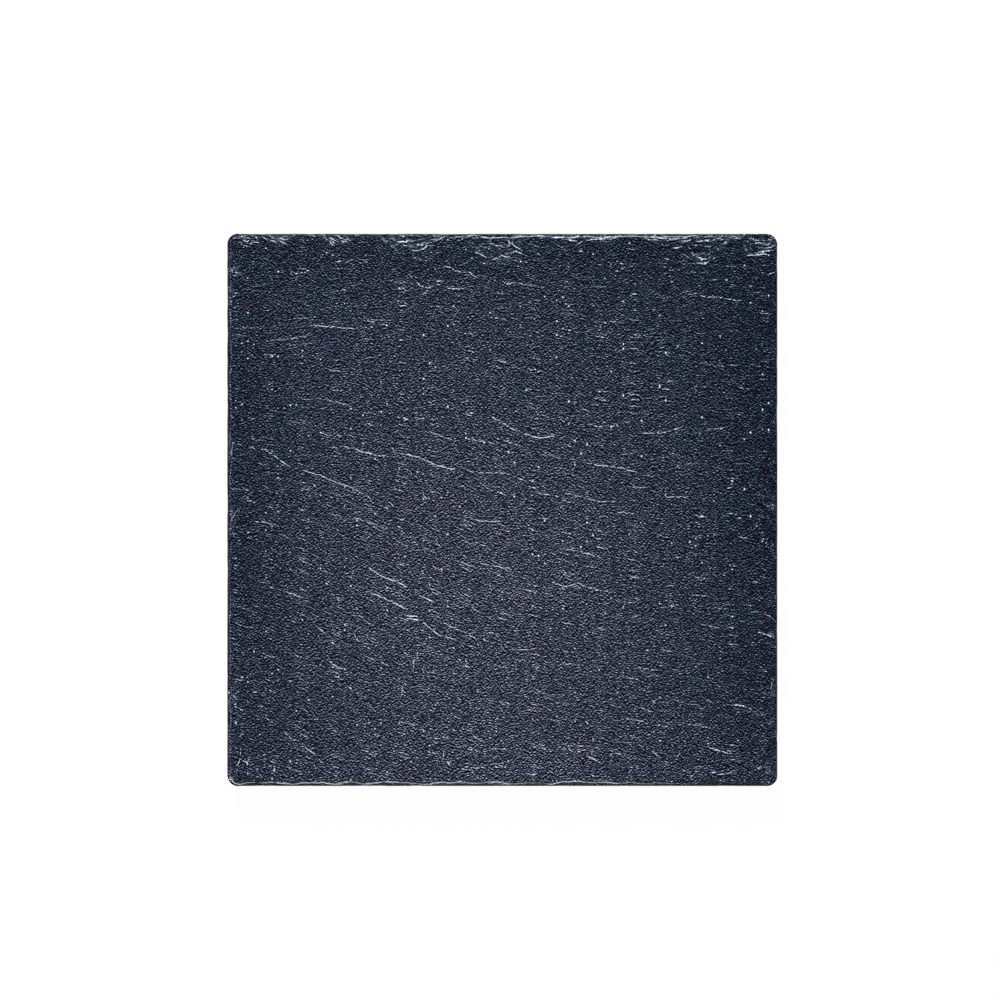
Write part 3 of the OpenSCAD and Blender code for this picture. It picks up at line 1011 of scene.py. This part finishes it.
# Strength of the marks, as changes of tone
RIDGE_TONE = 1.0
DASH_TONE = 0.45
LONG_DASH_TONE = 1.1
FLOW_TONE = 0.02
LINE_TONE = 0.4
STREAK_TONE = 1.7
STREAK_SHADE_TONE = -0.10
GLINT_TONE = 2.5
BROKEN_TONE = -0.02
RIPPLE_TONE = 0.80
LIP_TONE = 0.82
LIP_SHADE_TONE = -0.04
LIP_CALM = 0.6
OUTLINE_SHADE_TONE = -0.60

# Contrast of the grain: where the tone is 0, and its rise with the tone
GRAIN_CONTRAST = 0.80
GRAIN_CONTRAST_RISE = 4.0

# Finish of the stone, its bump in millimetres
SLATE_ROUGHNESS = 0.68
SLATE_POLISH = 0.25
SLATE_SPECULAR = 0.04
SLATE_BUMP = (0.3, 0.03)

# Rubber and adhesive: length and width of their noise and their bump in millimetres, and their colours
TWO_TONE_STOPS = (0.3, 0.7)
RUBBER_GRAIN_SIZE = (0.25, 0.25)
RUBBER_DUST_SIZE = (2.5, 2.5)
RUBBER_COLOURS = [(25, 25, 27), (40, 40, 42)]
RUBBER_BUMP = (0.6, 0.05)
RUBBER_ROUGHNESS = 0.72
RUBBER_DUST_ROUGHNESS = 0.3
RUBBER_SPECULAR = 0.3
FIBRE_SIZE = (1.2, 0.2)
ADHESIVE_COLOURS = [(190, 184, 168), (214, 209, 196)]
ADHESIVE_BUMP = (0.4, 0.03)
ADHESIVE_ROUGHNESS = 0.6

# Floor, light and camera, in metres: each lamp has a place, a size and its share of plain white light
FLOOR_HALF = 1.5
FLOOR_GREY = 0.8
FLOOR_DIM_GREY = 0.045
FLOOR_GLOW = 0.966
WORLD_STRENGTH = 0.30
LAMPS = {
    "key": ((-0.20, 0.85, 0.70), 0.4, 0.56),
    "fill": ((0.25, -0.60, 0.90), 0.8, 0.14),
}
CAMERA_DISTANCE = 2.5
CAMERA_SENSOR = 36
CAMERA_CLIP_START = 0.01


def slate_ramp(shader, tone, casts):
    """Colours of the stone from a tone, with one cast."""
    stops = []
    for grey in SLATE_GREYS:
        rgb = [min(max(grey + cast, 1), 255) for cast in casts]
        stops.append((grey / 255, linear(*rgb)))
    return shader.ramp(tone, stops)


def mark_noise(shader, grain, name):
    """One of the noises that bend and break the marks, by name."""
    size, shift, detail = MARK_NOISES[name]
    return shader.noise(shader.stretched(grain, *size, shift), detail=detail)


def specks(shader, place, radius, power):
    """One dot to each cell of the coordinates, of which a high power leaves few bright."""
    inputs = {"Vector": place, "Scale": 1.0}
    cells = shader.node("ShaderNodeTexVoronoi", inputs, voronoi_dimensions="2D").outputs
    chance = shader.node("ShaderNodeSeparateXYZ", {"Vector": cells["Color"]}).outputs[0]
    dot = shader.step(cells["Distance"], radius, SPECK_CORE_SHARE * radius)
    return shader.times(dot, shader.math("POWER", chance, power))


def fine_grain(shader, flat, grain):
    """Grain of the stone: fine ridges and sharp pale dashes, each with painted shade on its front side."""
    uneven = shader.bent(grain, shader.times(mark_noise(shader, grain, "dash_wobble"), DASH_WOBBLE))
    bead = shader.step(mark_noise(shader, grain, "dash_bead"), *DASH_BEAD_EDGES)
    bead = shader.times_plus(bead, 1 - BEAD_LEAST, BEAD_LEAST)
    sides = []
    for shift in (0.0, SHADE_SHIFT):
        side = 0.0
        for size, turn in zip(RIDGE_SIZES, LATTICE_TURNS):
            place = shader.turned(shader.stretched(flat, *size, RIDGE_SHIFT, shift / size[1]), turn)
            side = shader.times_plus(shader.noise(place, detail=0.0), RIDGE_TONE, side)
        place = shader.stretched(uneven, *DASH_SIZE, DASH_SHIFT, shift / DASH_SIZE[1])
        side = shader.times_plus(specks(shader, place, DASH_RADIUS, DASH_POWER), DASH_TONE, side)
        place = shader.stretched(uneven, *LONG_DASH_SIZE, LONG_DASH_SHIFT, shift / LONG_DASH_SIZE[1])
        dash = shader.times(specks(shader, place, DASH_RADIUS, LONG_DASH_POWER), bead)
        sides.append(shader.times_plus(dash, LONG_DASH_TONE, side))
    # The shifted copy, taken away, is the painted shade on each mark's front side
    return shader.times_plus(sides[1], -SHADE_SHARE, sides[0])


def tread_lines(shader, grain):
    """Thin pale lines along the risers of the treads, brighter where they face the back lamp as a painted
    highlight, and broken into patches.
    """
    level, slope = shader.values("tread")[1][:2]
    steep = shader.math("MAXIMUM", shader.math("ABSOLUTE", slope), LINE_LEAST_SLOPE)
    offset = shader.math("SUBTRACT", level, shader.math("ROUND", level))
    distance = shader.math("DIVIDE", offset, steep)
    distance = shader.times_plus(mark_noise(shader, grain, "line_wobble"), LINE_WOBBLE, distance)
    line = shader.step(shader.math("ABSOLUTE", distance), *LINE_EDGES)
    facing = shader.times_plus(shader.step(slope, *LINE_FACING), 1 - LINE_LEAST, LINE_LEAST)
    return shader.times(line, facing, shader.step(mark_noise(shader, grain, "line_patch"), *LINE_PATCH_EDGES))


def drawn_streaks(shader, grain):
    """The streaks that the mesh holds: their bright, beaded cores, paler broken stone with a painted
    highlight, and the painted shadow below them.
    """
    wobble = shader.times(mark_noise(shader, grain, "streak_wobble"), STREAK_WOBBLE)
    bead = shader.step(mark_noise(shader, grain, "streak_bead"), *STREAK_BEAD_EDGES)
    bead = shader.times_plus(bead, 1 - BEAD_LEAST, BEAD_LEAST)
    core = 0.0
    shade = 0.0
    for layer in range(STREAK_LAYERS):
        distance, weight = shader.values("streak_%d" % layer)[1][:2]
        distance = shader.math("ADD", distance, wobble)
        size = shader.math("ABSOLUTE", weight)
        half = shader.times_plus(size, STREAK_HALF_RISE, STREAK_HALF)
        line = shader.step(shader.math("ABSOLUTE", distance), half, STREAK_CORE_EDGE)
        line = shader.times(line, shader.math("MAXIMUM", bead, shader.step(size, *STREAK_STRONG)))
        below = shader.step(distance, *STREAK_SHADE_FAR)
        below = shader.times(below, shader.step(distance, *STREAK_SHADE_NEAR))
        core = shader.times_plus(line, weight, core)
        shade = shader.times_plus(below, weight, shade)
    return core, shade


def worn_rim(shader, grain):
    """Pale line along the worn lip with the painted shade behind it, and painted shade where the top turns
    down into the walls at the outline.
    """
    rim, lip, loss = shader.values("rim")[1]
    middle = shader.times_plus(mark_noise(shader, grain, "lip_wander"), LIP_WANDER, LIP_INSET)
    offset = shader.math("SUBTRACT", rim, middle)
    broken = shader.step(mark_noise(shader, grain, "lip_break"), *LIP_BREAK_EDGES)
    line = shader.times(shader.step(shader.math("ABSOLUTE", offset), *LIP_EDGES), broken, lip)
    # Painted shade just inside the lip line
    shade = shader.times(shader.step(offset, *LIP_SHADE_NEAR), shader.step(offset, *LIP_SHADE_FAR), lip)
    # Painted shade along the outline, where the top turns down into the steep walls
    outline = shader.times(shader.step(rim, *OUTLINE_EDGES), shader.step(loss, *OUTLINE_LOSS))
    return line, shade, outline


def chip_ripples(shader, grain):
    """Thin broken lines round each chip scar, at equal steps of its depth."""
    loss = shader.values("rim")[1][2]
    level = shader.times_plus(loss, 1 / RIPPLE_STEP, mark_noise(shader, grain, "ripple_wobble"))
    offset = shader.math("SUBTRACT", shader.math("FRACT", level), 0.5)
    line = shader.step(shader.math("ABSOLUTE", offset), *RIPPLE_EDGES)
    patches = shader.step(mark_noise(shader, grain, "ripple_patch"), *RIPPLE_PATCH_EDGES)
    return shader.times(line, shader.step(loss, *RIPPLE_LOSS), patches)


def glints(shader, grain):
    """Small bright points, scattered: painted glints of mica flakes catching the light."""
    return specks(shader, shader.stretched(grain, *GLINT_SIZE, GLINT_SHIFT), GLINT_RADIUS, GLINT_POWER)


def slate_material():
    """Blue-grey slate: fine grain, pale lines and streaks, rippled scars and a worn rim, with painted shade,
    highlights and glints in its colour.
    """
    s = Shader("slate")
    flat = s.values("flat")[0]
    grain = s.values("grain")[0]
    broken, lit, tone = s.values("edge")[1]

    lip, lip_shade, outline = worn_rim(s, grain)
    contrast = s.times_plus(tone, GRAIN_CONTRAST_RISE, GRAIN_CONTRAST)
    speckle = s.times(fine_grain(s, flat, grain), contrast, s.times_plus(lip, -LIP_CALM, 1.0))
    streak, streak_shade = drawn_streaks(s, grain)
    # Ripple lines: pale broken step edges, brighter as a painted highlight where the scar faces the back lamp
    ripple = s.times(chip_ripples(s, grain), s.times_plus(lit, 1 - RIPPLE_LEAST, RIPPLE_LEAST))
    marks = [
        (mark_noise(s, grain, "flow"), FLOW_TONE),
        (tread_lines(s, grain), LINE_TONE),
        # Streak cores are paler broken stone and painted highlight; the shade below them is painted shadow
        (streak, STREAK_TONE),
        (streak_shade, STREAK_SHADE_TONE),
        # Painted glints
        (glints(s, grain), GLINT_TONE),
        (broken, BROKEN_TONE),
        (ripple, RIPPLE_TONE),
        (lip, LIP_TONE),
        (lip_shade, LIP_SHADE_TONE),
        (outline, OUTLINE_SHADE_TONE),
    ]
    level = s.math("ADD", s.math("ADD", tone, SLATE_TONE), speckle)
    for mark, change in marks:
        level = s.times_plus(mark, change, level)
    level = s.math("MAXIMUM", level, 0.0)

    tint = s.times_plus(tone, TINT_FOLLOW, s.times(mark_noise(s, grain, "tint"), TINT_SHARE))
    teal, lilac = (slate_ramp(s, level, casts) for casts in SLATE_CASTS)
    colour = s.mix(s.step(tint, *TINT_EDGES), teal, lilac)
    rough = s.times_plus(speckle, -SLATE_POLISH, SLATE_ROUGHNESS)
    normal = s.bump(speckle, *SLATE_BUMP)
    return s.surface(Base_Color=colour, Roughness=rough, Normal=normal, Specular_IOR_Level=SLATE_SPECULAR)


def object_noise(shader, size, detail):
    """Noise in a piece's own space, with cells of a size in millimetres."""
    place = shader.node("ShaderNodeTexCoord").outputs["Object"]
    along, across = (length * MM for length in size)
    return shader.noise(shader.stretched(place, along, across), detail=detail, dimensions="3D")


def rubber_material():
    """Matte black rubber with a fine moulded grain."""
    s = Shader("foot_rubber")
    fine = object_noise(s, RUBBER_GRAIN_SIZE, 2.0)
    dust = object_noise(s, RUBBER_DUST_SIZE, 3.0)
    colour = s.two_tones(dust, *RUBBER_COLOURS)
    rough = s.times_plus(dust, RUBBER_DUST_ROUGHNESS, RUBBER_ROUGHNESS)
    normal = s.bump(fine, *RUBBER_BUMP)
    return s.surface(Base_Color=colour, Roughness=rough, Normal=normal, Specular_IOR_Level=RUBBER_SPECULAR)


def adhesive_material():
    """Pale double-sided adhesive with a faint fibre."""
    s = Shader("adhesive")
    fibre = object_noise(s, FIBRE_SIZE, 2.0)
    colour = s.two_tones(fibre, *ADHESIVE_COLOURS)
    return s.surface(Base_Color=colour, Roughness=ADHESIVE_ROUGHNESS, Normal=s.bump(fibre, *ADHESIVE_BUMP))


def floor_material():
    """White floor that shows white to the camera and keeps the coaster's shadow."""
    s = Shader("floor")
    path = s.node("ShaderNodeLightPath").outputs
    seen = s.math("MAXIMUM", path["Is Camera Ray"], path["Is Glossy Ray"])
    seen = s.math("MAXIMUM", seen, path["Is Transmission Ray"])
    greys = (FLOOR_GREY, FLOOR_DIM_GREY)
    colours = [(grey, grey, grey, 1) for grey in greys]
    lit, dim = (s.node("ShaderNodeBsdfDiffuse", {"Color": colour}).outputs[0] for colour in colours)
    glow = s.node("ShaderNodeEmission", {"Color": (1, 1, 1, 1), "Strength": FLOOR_GLOW}).outputs[0]
    shown = s.node("ShaderNodeAddShader", {0: dim, 1: glow}).outputs[0]
    both = s.node("ShaderNodeMixShader", {0: seen, 1: lit, 2: shown}).outputs[0]
    s.tree.links.new(both, s.output.inputs[0])
    return s.material


def make_floor():
    """A plain floor under the coaster."""
    points = FLOOR_HALF * np.array([(-1, -1, 0), (1, -1, 0), (1, 1, 0), (-1, 1, 0)])
    floor = new_piece("floor", points, [(0, 1, 2, 3)])
    floor.data.materials.append(floor_material())


def aim(thing, place, target):
    """Puts a lamp at a place and turns it to a target."""
    direction = np.array(target) - np.array(place)
    thing.location = place
    level = math.hypot(direction[0], direction[1])
    thing.rotation_euler = (math.atan2(level, -direction[2]), 0, math.atan2(-direction[0], direction[1]))


def make_lamp(name, place, size, share):
    """A square soft lamp whose light on the upward face is a share of plain white light."""
    lamp = bpy.data.lights.new(name, "AREA")
    lamp.size = size
    square = sum(c * c for c in place)
    lamp.energy = share * math.pi ** 2 * square * math.sqrt(square) / place[2]
    holder = bpy.data.objects.new(name, lamp)
    bpy.context.scene.collection.objects.link(holder)
    aim(holder, place, (0, 0, 0))


def make_lights():
    """Soft studio light, mainly from behind the coaster and above."""
    world = bpy.data.worlds.new("studio")
    world.use_nodes = True
    background = world.node_tree.nodes["Background"]
    background.inputs["Color"].default_value = (1, 1, 1, 1)
    background.inputs["Strength"].default_value = WORLD_STRENGTH
    bpy.context.scene.world = world
    for name, (place, size, share) in LAMPS.items():
        make_lamp(name, place, size, share)


def make_camera():
    """A long lens straight above, framed as the photograph is."""
    camera = bpy.data.cameras.new("camera")
    frame_width = PHOTO_PX * MM_PER_PX * MM
    camera.sensor_width = CAMERA_SENSOR
    camera.lens = CAMERA_SENSOR * CAMERA_DISTANCE / frame_width
    camera.clip_start = CAMERA_CLIP_START
    holder = bpy.data.objects.new("camera", camera)
    middle = PHOTO_PX / 2
    holder.location = (
        (middle - CENTRE_X_PX) * MM_PER_PX * MM,
        (CENTRE_Y_PX - middle) * MM_PER_PX * MM,
        SLAB_TOP * MM + CAMERA_DISTANCE,
    )
    bpy.context.scene.collection.objects.link(holder)
    bpy.context.scene.camera = holder


make_slab(slate_material())
rubber = rubber_material()
adhesive = adhesive_material()
for corner_name in CORNERS:
    make_foot(corner_name, rubber)
    make_adhesive(corner_name, adhesive)
make_floor()
make_lights()
make_camera()
bpy.context.scene.view_settings.view_transform = "Standard"
